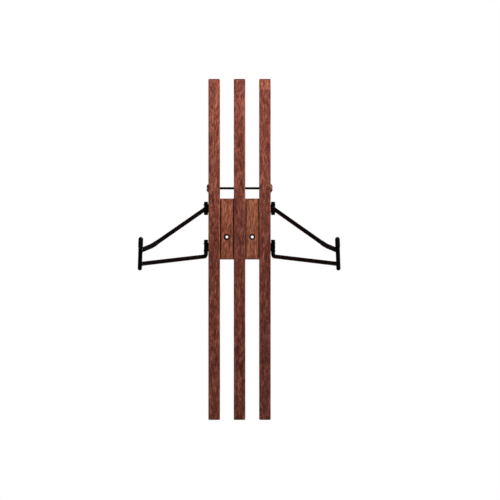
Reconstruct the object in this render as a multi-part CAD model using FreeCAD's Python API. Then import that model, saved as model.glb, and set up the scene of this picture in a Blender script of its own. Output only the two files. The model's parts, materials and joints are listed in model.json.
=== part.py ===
import FreeCAD
import Part
import math
import os

V = FreeCAD.Vector

# Bicycle wall rack: three upright wooden slats with two short blocks between them,
# with two folding rod arms that carry the top tube of a bicycle.
# X is to the right, Y goes into the wall, Z is up. The wall is the plane Y = 0
# and the origin lies midway between the two wall screws.

# Slats and blocks
slat_width = 19.4
slat_depth = 38.0
slat_pitch = 42.7
slat_bottom = -307.5
slat_top = 265.5
slat_edge_radius = 1.5
slat_end_chamfer = 1.2
block_recess = 0.8
block_bottom = -38.0
block_top = 64.5
block_edge_radius = 1.4
block_end_chamfer = 1.2
shadow_gap_width = 1.5
shadow_gap_depth = 5.0

# Fixings through the wood
bolt_y = -16.0
bolt_radius = 3.0
bolt_hole_radius = 3.2
hex_across_flats = 10.0
bolt_head_height = 4.0
nut_height = 5.0
bolt_tip = 1.2
wall_screw_radius = 2.3
counterbore_radius = 5.2
counterbore_depth = 10.0

# Thin tie rod above the blocks, with a slotted cap nut at each end
tie_rod_z = 82.0
tie_rod_y = -19.0
tie_rod_radius = 2.0
tie_hole_radius = 3.1
cap_nut_radius = 7.0
cap_nut_height = 3.4
cap_nut_barrel_radius = 2.95
cap_nut_barrel_length = 12.0
cap_nut_slot_width = 1.6
cap_nut_slot_depth = 1.5

# Folded steel brackets, one at each hinge
bracket_height = 14.0
bracket_sheet = 1.6
bracket_rear_y = -5.0
bracket_corner_radius = 4.0
bracket_fold_radius = 2.2
plate_setback = 0.6
lug_rear_y = -20.0
lug_radius = 4.3
lug_corner_radius = 3.0
pin_to_slat = 0.5
hinge_y = -30.0
hinge_bore_clearance = 0.07
upper_bracket_z = 48.0
lower_bracket_z = -17.2

# Rod arms
rod_radius = 3.5
arm_splay = 23.3
arm_length = 261.3
hinge_pin_length = 22.6
seat_length = 46.0
brace_seat_z = -15.0
brace_end_z = -22.9
brace_bend_radius = 180.0
rail_z = -32.6
rail_end_z = -44.6
rail_bend_radius = 6.4
rail_leg_top = -4.6
post_top = -0.8
post_bottom = -55.2
post_lean = 4.5
post_mid_z = -28.0

# Soft vinyl covers where the bicycle tube lies
vinyl = 0.42
vinyl_gap = 0.02
post_cover_bottom = -17.8
seat_cover_start = 6.0
seat_cover_end = 62.0

slat_outer = slat_pitch + slat_width / 2.0
block_width = slat_pitch - slat_width
block_depth = slat_depth - block_recess
hinge_x = slat_outer + pin_to_slat + rod_radius
slat_centres = [-slat_pitch, 0.0, slat_pitch]
block_centres = [-slat_pitch / 2.0, slat_pitch / 2.0]
bolt_heights = [upper_bracket_z, lower_bracket_z]

os.makedirs("parts", exist_ok=True)


def save(shape, name):
    shape.exportStep("parts/" + name + ".step")
    print(name, round(shape.Volume, 1), shape.isValid())


def cylinder_x(radius, x0, x1, y, z):
    return Part.makeCylinder(radius, x1 - x0, V(x0, y, z), V(1, 0, 0))


def rounded_bar(x_centre, width, depth, z0, z1, long_radius, end_chamfer):
    bar = Part.makeBox(width, depth, z1 - z0, V(x_centre - width / 2.0, -depth, z0))
    long_edges = [e for e in bar.Edges if abs(e.tangentAt(e.FirstParameter).z) > 0.9]
    bar = bar.makeFillet(long_radius, long_edges)
    end_edges = [e for e in bar.Edges if e.BoundBox.ZLength < 0.01]
    return bar.makeChamfer(end_chamfer, end_edges)


def hexagon(across_flats, height, x0, y, z):
    corner = across_flats / math.sqrt(3.0)
    points = []
    for i in range(7):
        angle = math.radians(60.0 * i)
        points.append(V(x0, y + corner * math.cos(angle), z + corner * math.sin(angle)))
    prism = Part.Face(Part.makePolygon(points)).extrude(V(height, 0, 0))
    outer = cylinder_x(corner * 0.985, x0, x0 + height, y, z)
    return prism.common(outer)


def rod_along(points, radius, bends):
    """Round rod along a polyline, with an arc of the given radius at each inner corner."""
    edges = []
    start = points[0]
    for i in range(1, len(points) - 1):
        corner = points[i]
        inward = (corner - points[i - 1]).normalize()
        outward = (points[i + 1] - corner).normalize()
        half_turn = inward.getAngle(outward) / 2.0
        setback = bends[i - 1] * math.tan(half_turn)
        arc_start = corner - inward * setback
        arc_end = corner + outward * setback
        centre_line = (outward - inward).normalize()
        arc_centre = corner + centre_line * (bends[i - 1] / math.cos(half_turn))
        arc_middle = arc_centre - centre_line * bends[i - 1]
        edges.append(Part.makeLine(start, arc_start))
        edges.append(Part.Arc(arc_start, arc_middle, arc_end).toShape())
        start = arc_end
    edges.append(Part.makeLine(start, points[-1]))
    path = Part.Wire(edges)
    first = (points[1] - points[0]).normalize()
    section = Part.Wire([Part.makeCircle(radius, points[0], first)])
    return path.makePipeShell([section], True, False)


def point_between(a, b, distance):
    return a + (b - a).normalize() * distance


# ---------------------------------------------------------------- upright

slat_names = ["slat_left", "slat_middle", "slat_right"]
for name, x in zip(slat_names, slat_centres):
    slat = rounded_bar(x, slat_width, slat_depth, slat_bottom, slat_top,
                       slat_edge_radius, slat_end_chamfer)
    for z in bolt_heights:
        slat = slat.cut(cylinder_x(bolt_hole_radius, x - slat_width, x + slat_width, bolt_y, z))
    hole = tie_hole_radius
    if name == "slat_middle":
        hole = tie_rod_radius + 0.2
    slat = slat.cut(cylinder_x(hole, x - slat_width, x + slat_width, tie_rod_y, tie_rod_z))
    save(slat, name)

# Each block fills its gap, but its front is narrower and leaves a shadow line beside each slat
block_names = ["block_left", "block_right"]
block_front = -slat_depth + block_recess
for name, x in zip(block_names, block_centres):
    front_width = block_width - 2.0 * shadow_gap_width
    block = rounded_bar(x, front_width, block_depth, block_bottom, block_top,
                        block_edge_radius, block_end_chamfer)
    core_depth = block_depth - shadow_gap_depth
    core = Part.makeBox(block_width, core_depth, block_top - block_bottom,
                        V(x - block_width / 2.0, -core_depth, block_bottom))
    block = block.fuse(core).removeSplitter()
    for z in bolt_heights:
        block = block.cut(cylinder_x(bolt_hole_radius, x - slat_width, x + slat_width, bolt_y, z))
    screw_hole = Part.makeCylinder(wall_screw_radius, slat_depth + 2.0, V(x, 1.0, 0), V(0, -1, 0))
    counterbore = Part.makeCylinder(counterbore_radius, counterbore_depth + 1.0,
                                    V(x, block_front - 1.0, 0), V(0, 1, 0))
    save(block.cut(screw_hole).cut(counterbore), name)

# Through bolts that hold the brackets, slats and blocks together
bolts = []
nuts = []
bolt_face = slat_outer + bracket_sheet
for z in bolt_heights:
    head = hexagon(hex_across_flats, bolt_head_height, -bolt_face - bolt_head_height, bolt_y, z)
    shank_end = bolt_face + nut_height + bolt_tip
    shank = cylinder_x(bolt_radius, -bolt_face - 0.5, shank_end, bolt_y, z)
    tip_edge = [e for e in shank.Edges if e.BoundBox.XMin > shank_end - 0.01]
    shank = shank.makeChamfer(0.6, tip_edge)
    bolts.append(head.fuse(shank).removeSplitter())
    nut = hexagon(hex_across_flats, nut_height, bolt_face, bolt_y, z)
    nuts.append(nut.cut(cylinder_x(bolt_radius, bolt_face - 1.0, shank_end, bolt_y, z)))
save(Part.makeCompound(bolts), "through_bolts")
save(Part.makeCompound(nuts), "bolt_nuts")

# Tie rod and its two cap nuts
rod_end = slat_outer - 2.0
save(cylinder_x(tie_rod_radius, -rod_end, rod_end, tie_rod_y, tie_rod_z), "tie_rod")


def cap_nut():
    """Slotted dome head on a barrel, along +X, with the head seat at X = 0."""
    rim = 1.1
    dome_middle = V(cap_nut_height - 0.7, 0, cap_nut_radius * 0.62)
    profile = Part.Wire([
        Part.makeLine(V(-cap_nut_barrel_length, 0, 0), V(-cap_nut_barrel_length, 0, cap_nut_barrel_radius)),
        Part.makeLine(V(-cap_nut_barrel_length, 0, cap_nut_barrel_radius), V(0, 0, cap_nut_barrel_radius)),
        Part.makeLine(V(0, 0, cap_nut_barrel_radius), V(0, 0, cap_nut_radius)),
        Part.makeLine(V(0, 0, cap_nut_radius), V(rim, 0, cap_nut_radius)),
        Part.Arc(V(rim, 0, cap_nut_radius), dome_middle, V(cap_nut_height, 0, 0)).toShape(),
        Part.makeLine(V(cap_nut_height, 0, 0), V(-cap_nut_barrel_length, 0, 0)),
    ])
    body = Part.Face(profile).revolve(V(0, 0, 0), V(1, 0, 0), 360)
    slot = Part.makeBox(cap_nut_slot_depth + 1.0, 3.0 * cap_nut_radius, cap_nut_slot_width,
                        V(cap_nut_height - cap_nut_slot_depth, -1.5 * cap_nut_radius,
                          -cap_nut_slot_width / 2.0))
    bore = Part.makeCylinder(tie_rod_radius, cap_nut_barrel_length + slat_outer - rod_end,
                             V(-cap_nut_barrel_length - slat_outer + rod_end - 2.0, 0, 0), V(1, 0, 0))
    return body.cut(slot).cut(bore)


nut_right = cap_nut()
nut_right.translate(V(slat_outer, tie_rod_y, tie_rod_z))
nut_left = nut_right.mirror(V(0, 0, 0), V(1, 0, 0))
save(nut_right, "cap_nut_right")
save(nut_left, "cap_nut_left")


def bracket(z_centre):
    """Right-hand bracket: a plate on the slat and two lugs folded out, reaching forward to the pin."""
    z0 = z_centre - bracket_height / 2.0
    plate_front = hinge_y + rod_radius + plate_setback
    lug_front = hinge_y - lug_radius
    width = hinge_x + lug_radius - slat_outer
    inner_height = bracket_height - 2.0 * bracket_sheet

    outline = Part.makeCylinder(lug_radius, bracket_height, V(hinge_x, hinge_y, z0))
    root = Part.makeBox(hinge_x - slat_outer, lug_rear_y - lug_front, bracket_height,
                        V(slat_outer, lug_front, z0))
    ear = Part.makeBox(width, lug_rear_y - hinge_y, bracket_height, V(slat_outer, hinge_y, z0))
    ear_corner = [e for e in ear.Edges
                  if e.BoundBox.XMin > slat_outer + 1.0 and e.BoundBox.YMin > lug_rear_y - 0.01
                  and e.BoundBox.ZLength > 1.0]
    ear = ear.makeFillet(lug_corner_radius, ear_corner)
    outline = outline.fuse(root).fuse(ear)
    beside_slat = Part.makeBox(2.0 * width, 4.0 * width, bracket_height,
                               V(slat_outer, lug_front - width, z0))
    outline = outline.common(beside_slat)

    # Ahead of the plate the lugs are flat; beside it they are folded out of its upper and lower edges
    middle = Part.makeBox(2.0 * width, 4.0 * width, inner_height,
                          V(slat_outer, lug_front - width, z0 + bracket_sheet))
    ahead = Part.makeBox(2.0 * width, plate_front - lug_front + 1.0, bracket_height,
                         V(slat_outer, lug_front - 1.0, z0))
    flat = outline.cut(middle).common(ahead)
    outer = Part.makeBox(2.0 * width, lug_rear_y - plate_front, bracket_height,
                         V(slat_outer, plate_front, z0))
    fold_edges = [e for e in outer.Edges
                  if e.BoundBox.XMax < slat_outer + 0.01 and e.BoundBox.YLength > 1.0]
    outer = outer.makeFillet(bracket_fold_radius, fold_edges)
    inner = Part.makeBox(3.0 * width, 4.0 * width, inner_height,
                         V(slat_outer + bracket_sheet, lug_front - width, z0 + bracket_sheet))
    fold_edges = [e for e in inner.Edges
                  if e.BoundBox.XMax < slat_outer + bracket_sheet + 0.01 and e.BoundBox.YLength > 1.0]
    inner = inner.makeFillet(bracket_fold_radius - bracket_sheet, fold_edges)
    folded = outer.cut(inner).common(outline)

    tail = Part.makeBox(bracket_sheet, bracket_rear_y - lug_rear_y, bracket_height,
                        V(slat_outer, lug_rear_y, z0))
    corners = [e for e in tail.Edges
               if e.BoundBox.YMin > bracket_rear_y - 0.01 and e.BoundBox.XLength > 1.0]
    tail = tail.makeFillet(bracket_corner_radius, corners)
    sheet = flat.fuse(folded).fuse(tail).removeSplitter()
    bolt_hole = cylinder_x(bolt_hole_radius, slat_outer - 1.0, slat_outer + 5.0, bolt_y, z_centre)
    pin_hole = Part.makeCylinder(rod_radius + hinge_bore_clearance, bracket_height + 2.0,
                                 V(hinge_x, hinge_y, z0 - 1.0))
    return sheet.cut(bolt_hole).cut(pin_hole)


for level, z in zip(["upper", "lower"], bolt_heights):
    right = bracket(z)
    assert len(right.Solids) == 1
    save(right, level + "_bracket_right")
    save(right.mirror(V(0, 0, 0), V(1, 0, 0)), level + "_bracket_left")

# ---------------------------------------------------------------- arms
# Each arm is built along +X from its hinge axis, then turned to its place.

lean_per_mm = math.tan(math.radians(post_lean))


def post_point(z):
    """Point on the post's axis at a height; the top leans back towards the wall."""
    return V(arm_length - (z - post_mid_z) * lean_per_mm, 0, z)


hinge_pin = Part.makeCylinder(rod_radius, hinge_pin_length,
                              V(0, 0, upper_bracket_z - hinge_pin_length / 2.0))
pin_rims = [e for e in hinge_pin.Edges if e.BoundBox.ZLength < 0.01]
hinge_pin = hinge_pin.makeFillet(1.6, pin_rims)

post_axis = (post_point(post_top) - post_point(post_bottom)).normalize()
post_start = post_point(post_bottom) + post_axis * rod_radius
post_end = post_point(post_top) - post_axis * (rod_radius + vinyl + vinyl_gap)
post = Part.makeCylinder(rod_radius, post_start.distanceToPoint(post_end), post_start, post_axis)
for tip in (post_start, post_end):
    post = post.fuse(Part.makeSphere(rod_radius, tip))
post = post.removeSplitter()

cover_start = post_point(post_cover_bottom)
cover_length = cover_start.distanceToPoint(post_end)
cover_radius = rod_radius + vinyl + vinyl_gap
post_cover = Part.makeCylinder(cover_radius, cover_length, cover_start, post_axis)
post_cover = post_cover.fuse(Part.makeSphere(cover_radius, post_end)).removeSplitter()
hollow = Part.makeCylinder(rod_radius + vinyl_gap, cover_length + 2.0,
                           cover_start - post_axis * 2.0, post_axis)
hollow = hollow.cut(Part.makeCylinder(2.0 * rod_radius, 4.0, post_end, post_axis))
hollow = hollow.fuse(Part.makeSphere(rod_radius + vinyl_gap, post_end))
post_cover = post_cover.cut(hollow)

brace_end = post_point(brace_end_z)
brace_bend = V(brace_end.x - seat_length, 0, brace_seat_z)
brace_start = V(0, 0, upper_bracket_z)
brace = rod_along([brace_start, brace_bend, brace_end], rod_radius, [brace_bend_radius])
pin_solid = Part.makeCylinder(rod_radius, hinge_pin_length, V(0, 0, upper_bracket_z - hinge_pin_length / 2.0))
post_solid = Part.makeCylinder(rod_radius, 80.0, post_start - post_axis * 10.0, post_axis)
brace = brace.cut(pin_solid).cut(post_solid)
brace = max(brace.Solids, key=lambda s: s.Volume)

seat_near = point_between(brace_end, brace_bend, seat_cover_start)
seat_far = point_between(brace_bend, brace_start, seat_cover_end - seat_length)
seat_cover = rod_along([seat_near, brace_bend, seat_far], cover_radius, [brace_bend_radius])
seat_core = rod_along([brace_end, brace_bend, brace_start], rod_radius + vinyl_gap, [brace_bend_radius])
seat_cover = seat_cover.cut(seat_core)
seat_cover = max(seat_cover.Solids, key=lambda s: s.Volume)

rail_corner = V(0, 0, rail_z)
rail_end = post_point(rail_end_z)
rail = rod_along([V(0, 0, rail_leg_top), rail_corner, rail_end], rod_radius, [rail_bend_radius])
rail = rail.cut(post_solid)
rail = max(rail.Solids, key=lambda s: s.Volume)
leg_rim = [e for e in rail.Edges if e.BoundBox.ZMin > rail_leg_top - 0.01]
rail = rail.makeChamfer(0.6, leg_rim)

arm_parts = {
    "hinge_pin": hinge_pin,
    "brace_rod": brace,
    "rail_rod": rail,
    "post_rod": post,
    "post_cover": post_cover,
    "seat_cover": seat_cover,
}
for name, shape in arm_parts.items():
    placed = shape.copy()
    placed.rotate(V(0, 0, 0), V(0, 0, 1), arm_splay - 90.0)
    placed.translate(V(hinge_x, hinge_y, 0))
    save(placed, name + "_right")
    save(placed.mirror(V(0, 0, 0), V(1, 0, 0)), name + "_left")
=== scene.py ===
import bpy
import bmesh
import json
import math
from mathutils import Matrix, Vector, noise


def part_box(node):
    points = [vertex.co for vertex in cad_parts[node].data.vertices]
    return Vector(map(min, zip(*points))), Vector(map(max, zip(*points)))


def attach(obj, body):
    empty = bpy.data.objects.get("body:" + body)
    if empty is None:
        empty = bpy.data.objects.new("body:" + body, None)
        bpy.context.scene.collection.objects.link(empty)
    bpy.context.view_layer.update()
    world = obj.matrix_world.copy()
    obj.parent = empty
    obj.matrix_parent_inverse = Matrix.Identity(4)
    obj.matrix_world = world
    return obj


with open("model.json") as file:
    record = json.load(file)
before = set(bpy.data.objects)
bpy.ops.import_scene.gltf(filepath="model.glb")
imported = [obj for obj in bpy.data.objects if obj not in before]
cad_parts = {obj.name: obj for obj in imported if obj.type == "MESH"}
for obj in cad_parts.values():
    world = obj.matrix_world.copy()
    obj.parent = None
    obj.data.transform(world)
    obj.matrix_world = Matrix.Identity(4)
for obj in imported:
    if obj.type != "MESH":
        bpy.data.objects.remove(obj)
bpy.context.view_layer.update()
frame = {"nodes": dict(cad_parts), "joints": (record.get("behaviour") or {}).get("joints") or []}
nodes = frame["nodes"]
joints = {j["child"]: Vector(j["pos_m"]) for j in frame["joints"]}
MM = 0.001
WHITE = (1.0, 1.0, 1.0)


# ---------------------------------------------------------------- node helpers

class Graph:
    """Short calls for building one material's node tree."""

    def __init__(self, name):
        self.material = bpy.data.materials.new(name)
        self.material.use_nodes = True
        self.tree = self.material.node_tree
        self.tree.nodes.clear()
        out = self.tree.nodes.new("ShaderNodeOutputMaterial")
        self.shader = self.tree.nodes.new("ShaderNodeBsdfPrincipled")
        self.tree.links.new(self.shader.outputs[0], out.inputs["Surface"])
        self.coords = self.tree.nodes.new("ShaderNodeTexCoord")

    def link(self, source, target):
        """Feed a socket from another socket or from a plain number."""
        if isinstance(source, (int, float)):
            target.default_value = source
        else:
            self.tree.links.new(source, target)

    def mapping(self, scale=(1.0, 1.0, 1.0), offset=(0.0, 0.0, 0.0)):
        n = self.tree.nodes.new("ShaderNodeMapping")
        n.inputs["Scale"].default_value = scale
        n.inputs["Location"].default_value = offset
        self.link(self.coords.outputs["Object"], n.inputs["Vector"])
        return n.outputs[0]

    def noise(self, vector, scale, detail, rough, distort=0.0):
        n = self.tree.nodes.new("ShaderNodeTexNoise")
        n.inputs["Scale"].default_value = scale
        n.inputs["Detail"].default_value = detail
        n.inputs["Roughness"].default_value = rough
        n.inputs["Distortion"].default_value = distort
        self.link(vector, n.inputs["Vector"])
        return n.outputs["Fac"]

    def maths(self, kind, a, b=0.0):
        n = self.tree.nodes.new("ShaderNodeMath")
        n.operation = kind
        self.link(a, n.inputs[0])
        self.link(b, n.inputs[1])
        return n.outputs[0]

    def times(self, a, b):
        return self.maths("MULTIPLY", a, b)

    def weighted(self, layers):
        """Sum of (value, weight) pairs."""
        total = None
        for value, weight in layers:
            part = self.times(value, weight)
            total = part if total is None else self.maths("ADD", total, part)
        return total

    def span(self, value, low, high, out_low=0.0, out_high=1.0, smooth=True):
        n = self.tree.nodes.new("ShaderNodeMapRange")
        n.interpolation_type = "SMOOTHSTEP" if smooth else "LINEAR"
        n.inputs["From Min"].default_value = low
        n.inputs["From Max"].default_value = high
        n.inputs["To Min"].default_value = out_low
        n.inputs["To Max"].default_value = out_high
        self.link(value, n.inputs["Value"])
        return n.outputs["Result"]

    def ramp(self, value, stops):
        n = self.tree.nodes.new("ShaderNodeValToRGB")
        ramp = n.color_ramp
        while len(ramp.elements) < len(stops):
            ramp.elements.new(0.5)
        for element, (at, colour) in zip(ramp.elements, stops):
            element.position = at
            element.color = (*colour, 1.0)
        self.link(value, n.inputs[0])
        return n.outputs[0]

    def mix(self, factor, a, b, kind="MIX"):
        n = self.tree.nodes.new("ShaderNodeMix")
        n.data_type = "RGBA"
        n.blend_type = kind
        self.link(factor, n.inputs["Factor"])
        for value, socket in ((a, n.inputs["A"]), (b, n.inputs["B"])):
            if isinstance(value, tuple):
                socket.default_value = (*value, 1.0)
            else:
                self.tree.links.new(value, socket)
        return n.outputs["Result"]

    def split(self, vector):
        n = self.tree.nodes.new("ShaderNodeSeparateXYZ")
        self.link(vector, n.inputs[0])
        return n.outputs

    def bump(self, height, strength, distance):
        n = self.tree.nodes.new("ShaderNodeBump")
        n.inputs["Strength"].default_value = strength
        n.inputs["Distance"].default_value = distance
        self.link(height, n.inputs["Height"])
        self.link(n.outputs[0], self.shader.inputs["Normal"])

    def finish(self, colour, rough, metallic, specular):
        self.link(colour, self.shader.inputs["Base Color"])
        self.link(rough, self.shader.inputs["Roughness"])
        self.shader.inputs["Metallic"].default_value = metallic
        self.shader.inputs["Specular IOR Level"].default_value = specular
        return self.material


def scaled(colour, *factors):
    """A colour times one factor, or times one factor per channel."""
    if len(factors) == 1:
        factors = factors * 3
    return tuple(f * c for f, c in zip(factors, colour))


# ---------------------------------------------------------------- materials

OLIVE_STAIN = (0.16, 0.062, 0.030)
OLIVE_SHARE, RAY_SHARE, PORE_SHARE = 0.5, 0.6, 0.6
EDGE_X = (2.0 * MM, 0.5 * MM)    # edge wear and painted highlight begin, and are full, this far inside a side edge
EDGE_Y = (1.5 * MM, 0.2 * MM)    # the same, inside the front and the back face
WOOD_BUMP, WOOD_RELIEF = 0.35, 0.25 * MM
WOOD_SPECULAR = 0.22


def grain(g, stretch, shift, scale, detail, rough, distort=0.0):
    """Noise drawn out along Z; a smaller stretch value makes longer marks."""
    return g.noise(g.mapping((1.0, 1.0, stretch), shift), scale, detail, rough, distort)


def edge_wear_and_highlight(g, centre, half, streak, shift):
    """Patchy rubbing along the four long edges, with a painted highlight that makes the
    right-hand ones lighter, as if lit from the right.
    """
    place = g.split(g.coords.outputs["Object"])
    from_x = g.maths("SUBTRACT", place["X"], centre.x)
    off_x = g.maths("ABSOLUTE", from_x)
    off_y = g.maths("ABSOLUTE", g.maths("SUBTRACT", place["Y"], centre.y))
    near_x = g.span(off_x, half.x - EDGE_X[0], half.x - EDGE_X[1])
    near_y = g.span(off_y, half.y - EDGE_Y[0], half.y - EDGE_Y[1])
    wear_and_highlight = g.times(near_x, near_y)
    patchy = g.span(grain(g, 0.22, shift, 190.0, 4.0, 0.65), 0.44, 0.6)
    wear_and_highlight = g.times(wear_and_highlight, g.span(patchy, 0.0, 1.0, 0.18, 0.95, False))
    # Stronger towards the right-hand edges: painted highlight of light falling from the right
    wear_and_highlight = g.times(wear_and_highlight, g.span(from_x, -half.x, half.x, 0.45, 1.0, False))
    return g.times(wear_and_highlight, g.span(streak, 0.40, 0.58, 0.35, 1.0))


def wood(node, seed, palette, tint):
    """Stained open-pored wood with its grain along Z, worn edges with a painted highlight on the
    right-hand ones, and darker end grain.
    """
    dark, middle, light = palette
    low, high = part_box(node)
    g = Graph("wood_" + node)
    shift = (seed * 3.1, seed * 1.7, seed * 0.9)
    # Growth lines: a slow drift across the grain, cut into uneven bands
    drift = grain(g, 0.07, shift, 70.0, 3.0, 0.5, 0.4)
    bands = g.maths("SINE", g.times(drift, 46.0))
    streak = grain(g, 0.05, shift, 620.0, 4.0, 0.6, 0.6)
    fibre = grain(g, 0.03, shift, 1700.0, 3.0, 0.6, 0.2)
    blotch = grain(g, 0.4, shift, 130.0, 4.0, 0.65, 0.5)
    fleck = grain(g, 0.22, shift, 560.0, 3.0, 0.65, 0.3)
    pore = grain(g, 0.05, shift, 2300.0, 2.0, 0.5)
    ray = grain(g, 0.15, (shift[1], shift[2], shift[0]), 900.0, 2.0, 0.55, 0.2)
    mixed = g.weighted([(bands, 0.013), (streak, 0.26), (fibre, 0.12), (blotch, 0.18),
                        (fleck, 0.44)])
    tone = g.span(mixed, 0.41, 0.59, 0.0, 1.0, False)
    colour = g.ramp(tone, [(0.0, dark), (0.5, middle), (1.0, light)])

    # Olive stain, pale rays and dark pores over the tone
    stain = grain(g, 0.12, (shift[2], shift[0], shift[1]), 260.0, 3.0, 0.6)
    olive = g.span(stain, 0.5, 0.68)
    colour = g.mix(g.times(olive, OLIVE_SHARE), colour, OLIVE_STAIN)
    rays = g.span(ray, 0.58, 0.74)
    colour = g.mix(g.times(rays, RAY_SHARE), colour, scaled(light, 1.45))
    pores = g.span(pore, 0.60, 0.70)
    colour = g.mix(g.times(pores, PORE_SHARE), colour, scaled(dark, 0.3))

    # Lighter long edges: partly real rubbing, partly painted highlight on the right-hand edges
    wear_and_highlight = edge_wear_and_highlight(g, (low + high) / 2.0, (high - low) / 2.0, streak, shift)
    colour = g.mix(wear_and_highlight, colour, scaled(light, 1.1, 1.6, 1.6))

    # End grain on the faces that look up or down
    facing = g.split(g.coords.outputs["Normal"])
    end = g.span(g.maths("ABSOLUTE", facing["Z"]), 0.4, 0.65)
    rings = g.noise(g.mapping((1.0, 0.16, 1.0), shift), 700.0, 4.0, 0.6, 1.2)
    end_colour = g.ramp(g.span(rings, 0.35, 0.65, 0.0, 1.0, False),
                        [(0.0, scaled(dark, 0.25)), (1.0, scaled(middle, 0.55))])
    colour = g.mix(end, colour, end_colour)
    colour = g.mix(1.0, colour, tint, "MULTIPLY")

    height = g.maths("SUBTRACT", g.times(streak, 0.6), g.times(pores, 0.8))
    g.bump(height, WOOD_BUMP, WOOD_RELIEF)
    rough = g.span(g.maths("ADD", blotch, g.times(pores, 0.3)), 0.3, 0.9, 0.42, 0.66, False)
    rough = g.maths("ADD", rough, g.times(end, 0.30))
    return g.finish(colour, rough, 0.0, WOOD_SPECULAR)


def black_coat():
    """Black powder coat with orange peel and faint grey rubbing."""
    g = Graph("black_coat")
    peel = g.noise(g.mapping(), 900.0, 2.0, 0.5)
    cloud = g.noise(g.mapping(), 60.0, 4.0, 0.6)
    scuff = g.span(grain(g, 0.3, (0.0, 0.0, 0.0), 260.0, 5.0, 0.7), 0.66, 0.8)
    colour = g.ramp(cloud, [(0.3, (0.0007, 0.0008, 0.0010)), (0.7, (0.0020, 0.0022, 0.0028))])
    colour = g.mix(g.times(scuff, 0.15), colour, (0.020, 0.021, 0.024))
    g.bump(peel, 0.12, 0.1 * MM)
    gloss = g.weighted([(cloud, 0.7), (peel, 0.3)])
    rough = g.span(gloss, 0.3, 0.7, 0.17, 0.30, False)
    return g.finish(colour, rough, 0.0, 0.07)


def vinyl():
    """Soft dipped vinyl, duller than the coat, under a thin sheen."""
    g = Graph("black_vinyl")
    cloud = g.noise(g.mapping(), 110.0, 5.0, 0.6)
    fine = g.noise(g.mapping(), 1400.0, 2.0, 0.5)
    colour = g.ramp(cloud, [(0.3, (0.0012, 0.0012, 0.0015)), (0.72, (0.0038, 0.0038, 0.0045))])
    g.bump(fine, 0.08, 0.08 * MM)
    rough = g.span(cloud, 0.3, 0.7, 0.3, 0.48, False)
    g.shader.inputs["Coat Weight"].default_value = 0.06
    g.shader.inputs["Coat Roughness"].default_value = 0.18
    return g.finish(colour, rough, 0.0, 0.12)


def bronze():
    """Antique bronze: brown metal, darker where the patina has stayed."""
    g = Graph("bronze")
    patina = g.noise(g.mapping(), 420.0, 5.0, 0.65, 0.4)
    turned = g.noise(g.mapping(), 1600.0, 2.0, 0.5)
    colour = g.ramp(patina, [(0.3, (0.035, 0.018, 0.011)), (0.5, (0.16, 0.075, 0.038)),
                             (0.72, (0.34, 0.18, 0.085))])
    g.bump(turned, 0.1, 0.1 * MM)
    rough = g.span(patina, 0.3, 0.7, 0.55, 0.3, False)
    return g.finish(colour, rough, 0.85, 0.5)


def dark_steel():
    """Dark zinc on small steel fixings, with fine turning marks."""
    g = Graph("dark_steel")
    marks = g.noise(g.mapping((0.15, 1.0, 1.0)), 2200.0, 3.0, 0.6)
    cloud = g.noise(g.mapping(), 240.0, 4.0, 0.6)
    colour = g.ramp(cloud, [(0.3, (0.03, 0.03, 0.033)), (0.7, (0.11, 0.11, 0.115))])
    g.bump(marks, 0.15, 0.06 * MM)
    rough = g.span(marks, 0.3, 0.7, 0.28, 0.48, False)
    return g.finish(colour, rough, 0.9, 0.5)


def weld_metal_and_highlight():
    """Thinly coated weld bead, with lighter grey-blue patches that are partly bare metal showing
    through and partly a painted highlight.
    """
    g = Graph("weld_bead_and_highlight")
    cloud = g.noise(g.mapping(), 900.0, 4.0, 0.6)
    # Grey-blue patches: partly bare metal, partly painted highlight
    colour = g.ramp(cloud, [(0.35, (0.004, 0.0045, 0.006)), (0.75, (0.11, 0.115, 0.14))])
    g.bump(cloud, 0.2, 0.08 * MM)
    rough = g.span(cloud, 0.3, 0.7, 0.25, 0.42, False)
    return g.finish(colour, rough, 0.5, 0.4)


def paint(obj, material):
    """Give a piece one material all over."""
    obj.data.materials.clear()
    obj.data.materials.append(material)
    for polygon in obj.data.polygons:
        polygon.material_index = 0


# Dark, middle and light tone of the two stains
SLAT = ((0.072, 0.015, 0.012), (0.208, 0.044, 0.031), (0.47, 0.155, 0.100))
BLOCK = ((0.12, 0.030, 0.018), (0.30, 0.088, 0.048), (0.55, 0.225, 0.125))

# Piece, seed of its grain, stain and tint
WOODS = [
    ("slat_left", 1.0, SLAT, (1.03, 1.04, 1.0)),
    ("slat_middle", 2.3, SLAT, (0.94, 0.92, 0.95)),
    ("slat_right", 3.9, SLAT, (0.95, 0.94, 0.95)),
    ("block_left", 8.3, BLOCK, (1.02, 0.90, 0.97)),
    ("block_right", 9.1, BLOCK, (1.04, 1.02, 1.04)),
]
for name, seed, palette, tint in WOODS:
    paint(nodes[name], wood(name, seed, palette, tint))

coat = black_coat()
cover = vinyl()
brown = bronze()
steel = dark_steel()
bead_and_highlight = weld_metal_and_highlight()
for name, obj in nodes.items():
    if name.startswith(("slat_", "block_")):
        continue
    if name.startswith("cap_nut"):
        paint(obj, brown)
    elif name.startswith(("post_cover", "seat_cover")):
        paint(obj, cover)
    elif name.startswith(("through_bolts", "bolt_nuts")):
        paint(obj, steel)
    else:
        paint(obj, coat)


# ---------------------------------------------------------------- weld beads

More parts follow.
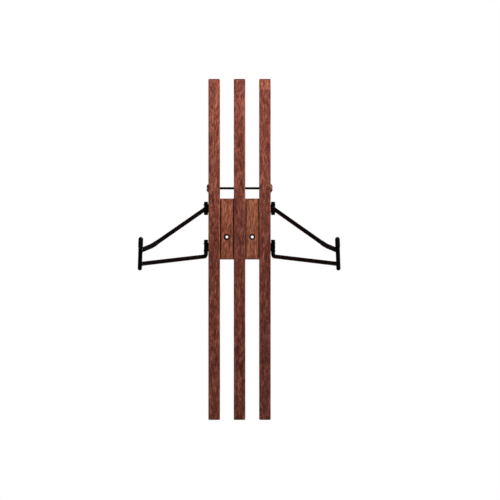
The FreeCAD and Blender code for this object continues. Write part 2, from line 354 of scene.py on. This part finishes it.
# The arms' layout, the same as in the CAD
SPLAY = math.radians(23.3)
LENGTH = 261.3 * MM                   # from hinge axis to post, at the post's mid height
LEAN = math.tan(math.radians(4.5))    # the post leans towards the wall at its top
POST_MID_Z = -28.0 * MM
ROD = 3.5 * MM                        # radius
PIN_Z = 48.0 * MM                     # brace meets hinge pin
SEAT_Z = -22.9 * MM                   # brace meets post
SEAT_LENGTH = 46.0 * MM               # flatter end of the brace
BEND_Z = -15.0 * MM
FOOT_Z = -44.6 * MM                   # rail meets post
RAIL_Z = -32.6 * MM                   # rail at the hinge axis
UPRIGHT = Vector((0.0, 0.0, 1.0))

# A bead's mesh and ripple
AROUND, SECTION = 120, 12
RIPPLES, RIPPLE_DEPTH = 23.0, 0.07
UNEVEN_SCALE, UNEVEN_DEPTH = 500.0, 0.08
SIDE_THICKNESS = 0.38                 # share of the thickness left on the other rod's sides
PIN_BEAD = 0.45 * MM
POST_BEAD = 0.9 * MM


def along(side, reach, z):
    """Point on an arm's plane: reach out from the hinge axis, at a height."""
    sign = 1.0 if side == "right" else -1.0
    hinge = joints[side + "_arm"]
    x = hinge.x + sign * reach * math.sin(SPLAY)
    y = hinge.y - reach * math.cos(SPLAY)
    return Vector((x, y, z))


def post_reach(z):
    """Reach of the post's centre line at a height."""
    return LENGTH - (z - POST_MID_Z) * LEAN


def weld(name, body, rod_from, rod_to, other_axis, thickness):
    """Rippled bead round a rod's coped end, where it meets another rod of the same size."""
    axis = (rod_to - rod_from).normalized()
    side = axis.cross(other_axis).normalized()
    up = side.cross(axis).normalized()
    mesh = bmesh.new()
    rings = []
    for i in range(AROUND):
        t = 2.0 * math.pi * i / AROUND
        across = ROD * math.cos(t)
        height = ROD * math.sin(t)
        back = math.sqrt(max(ROD ** 2 - across ** 2, 0.0))
        base = rod_from + side * across + up * height + axis * back
        outward = (side * math.cos(t) + up * math.sin(t)).normalized()
        uneven = noise.noise(base * UNEVEN_SCALE)
        ripple = 1.0 + RIPPLE_DEPTH * math.sin(RIPPLES * t) + UNEVEN_DEPTH * uneven
        ripple *= SIDE_THICKNESS + (1.0 - SIDE_THICKNESS) * abs(math.sin(t))
        ring = []
        for k in range(SECTION):
            a = 2.0 * math.pi * k / SECTION
            offset = outward * math.cos(a) + axis * math.sin(a)
            ring.append(mesh.verts.new(base + offset * thickness * ripple))
        rings.append(ring)
    for i in range(AROUND):
        one, two = rings[i], rings[(i + 1) % AROUND]
        for k in range(SECTION):
            after = (k + 1) % SECTION
            mesh.faces.new((one[k], one[after], two[after], two[k]))
    bmesh.ops.recalc_face_normals(mesh, faces=mesh.faces)
    data = bpy.data.meshes.new(name)
    mesh.to_mesh(data)
    mesh.free()
    for polygon in data.polygons:
        polygon.use_smooth = True
    obj = bpy.data.objects.new(name, data)
    bpy.context.scene.collection.objects.link(obj)
    obj.data.materials.append(bead_and_highlight)
    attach(obj, body)


for side in ("left", "right"):
    body = side + "_arm"
    pin = along(side, 0.0, PIN_Z)
    seat = along(side, post_reach(SEAT_Z), SEAT_Z)
    bend = along(side, post_reach(SEAT_Z) - SEAT_LENGTH, BEND_Z)
    foot = along(side, post_reach(FOOT_Z), FOOT_Z)
    corner = along(side, 0.0, RAIL_Z)
    post_high, post_low = (along(side, post_reach(z), z) for z in (0.0, -50.0 * MM))
    post_axis = (post_high - post_low).normalized()
    weld("weld_pin_" + side, body, pin, bend, UPRIGHT, PIN_BEAD)
    weld("weld_seat_" + side, body, seat, bend, post_axis, POST_BEAD)
    weld("weld_foot_" + side, body, foot, corner, post_axis, POST_BEAD)


# ---------------------------------------------------------------- studio

def area_light(name, place, target, size, energy, colour=WHITE):
    data = bpy.data.lights.new(name, "AREA")
    data.shape = "RECTANGLE"
    data.size, data.size_y = size
    data.energy = energy
    data.color = colour
    obj = bpy.data.objects.new(name, data)
    obj.location = place
    aim = Vector(target) - Vector(place)
    obj.rotation_euler = aim.to_track_quat("-Z", "Y").to_euler()
    bpy.context.scene.collection.objects.link(obj)
    return obj


area_light("key_light", (0.22, -0.42, 0.72), (0.0, -0.03, 0.15), (0.30, 0.26), 7.5,
           (1.0, 0.95, 0.87))
area_light("fill_light", (-1.2, -2.6, 0.9), (0.0, -0.05, 0.0), (1.6, 1.6), 4.9,
           (0.93, 1.0, 1.08))
area_light("rim_light", (1.3, -0.35, 0.5), (0.05, -0.05, 0.1), (0.4, 0.9), 4.0)
back_light = area_light("back_light", (-0.5, 1.15, 1.75), (0.0, 0.0, -0.05), (1.2, 0.8), 40.0)
back_light.visible_glossy = False    # or it would line the thin black rods with grey

# The world is white to look at, and lights the object only a little
WORLD_SEEN, WORLD_CAST = 1.0, 0.05
world = bpy.data.worlds.new("studio")
bpy.context.scene.world = world
world.use_nodes = True
tree = world.node_tree
tree.nodes.clear()
seen, cast = (tree.nodes.new("ShaderNodeBackground") for _ in range(2))
for background, strength in ((seen, WORLD_SEEN), (cast, WORLD_CAST)):
    background.inputs["Color"].default_value = (*WHITE, 1.0)
    background.inputs["Strength"].default_value = strength
path = tree.nodes.new("ShaderNodeLightPath")
blend = tree.nodes.new("ShaderNodeMixShader")
output = tree.nodes.new("ShaderNodeOutputWorld")
tree.links.new(path.outputs["Is Camera Ray"], blend.inputs[0])
tree.links.new(cast.outputs[0], blend.inputs[1])
tree.links.new(seen.outputs[0], blend.inputs[2])
tree.links.new(blend.outputs[0], output.inputs[0])

# Pale floor that fades into the white world away from the object
FLOOR_Z = -0.62
FLOOR_CORNERS = [(-3.6, -3.4, 0.0), (3.6, -3.4, 0.0), (3.6, 2.4, 0.0), (-3.6, 2.4, 0.0)]
FADE_FROM, FADE_TO, GLOW_NEAR, GLOW_FAR = 0.7, 2.2, 0.74, 1.0
FLOOR_GREYS = [(0.3, (0.70, 0.70, 0.70)), (0.7, (0.74, 0.74, 0.74))]
floor_mesh = bpy.data.meshes.new("floor")
floor_mesh.from_pydata(FLOOR_CORNERS, [], [(0, 1, 2, 3)])
floor = bpy.data.objects.new("floor", floor_mesh)
floor.location = (0.0, 0.0, FLOOR_Z)
bpy.context.scene.collection.objects.link(floor)
g = Graph("pale_floor")
g.shader.inputs["Emission Color"].default_value = (*WHITE, 1.0)
seen_directly = g.tree.nodes.new("ShaderNodeLightPath").outputs["Is Camera Ray"]
away = g.tree.nodes.new("ShaderNodeVectorMath")
away.operation = "LENGTH"
g.link(g.coords.outputs["Object"], away.inputs[0])
pale = g.span(away.outputs["Value"], FADE_FROM, FADE_TO, GLOW_NEAR, GLOW_FAR)
g.link(g.times(seen_directly, pale), g.shader.inputs["Emission Strength"])
cloud = g.noise(g.mapping(), 6.0, 3.0, 0.5)
floor_mesh.materials.append(g.finish(g.ramp(cloud, FLOOR_GREYS), 0.6, 0.0, 0.5))

# The photograph's view: straight at the slats' fronts, from far enough to be nearly flat
DISTANCE = 6.2
SLAT_FRONT_Y = -38.0 * MM
MM_PER_PIXEL = 1.68
IMAGE_PIXELS = 500.0
SENSOR = 36.0
CLIP_END = 50.0
camera_data = bpy.data.cameras.new("camera")
camera_data.sensor_width = SENSOR
camera_data.lens = SENSOR * DISTANCE / (IMAGE_PIXELS * MM_PER_PIXEL * MM)
camera_data.clip_end = CLIP_END
camera = bpy.data.objects.new("camera", camera_data)
camera.location = (17.6 * MM, SLAT_FRONT_Y - DISTANCE, -22.0 * MM)
camera.rotation_euler = (math.radians(90.0), 0.0, 0.0)
bpy.context.scene.collection.objects.link(camera)
bpy.context.scene.camera = camera
bpy.context.scene.view_settings.view_transform = "Standard"
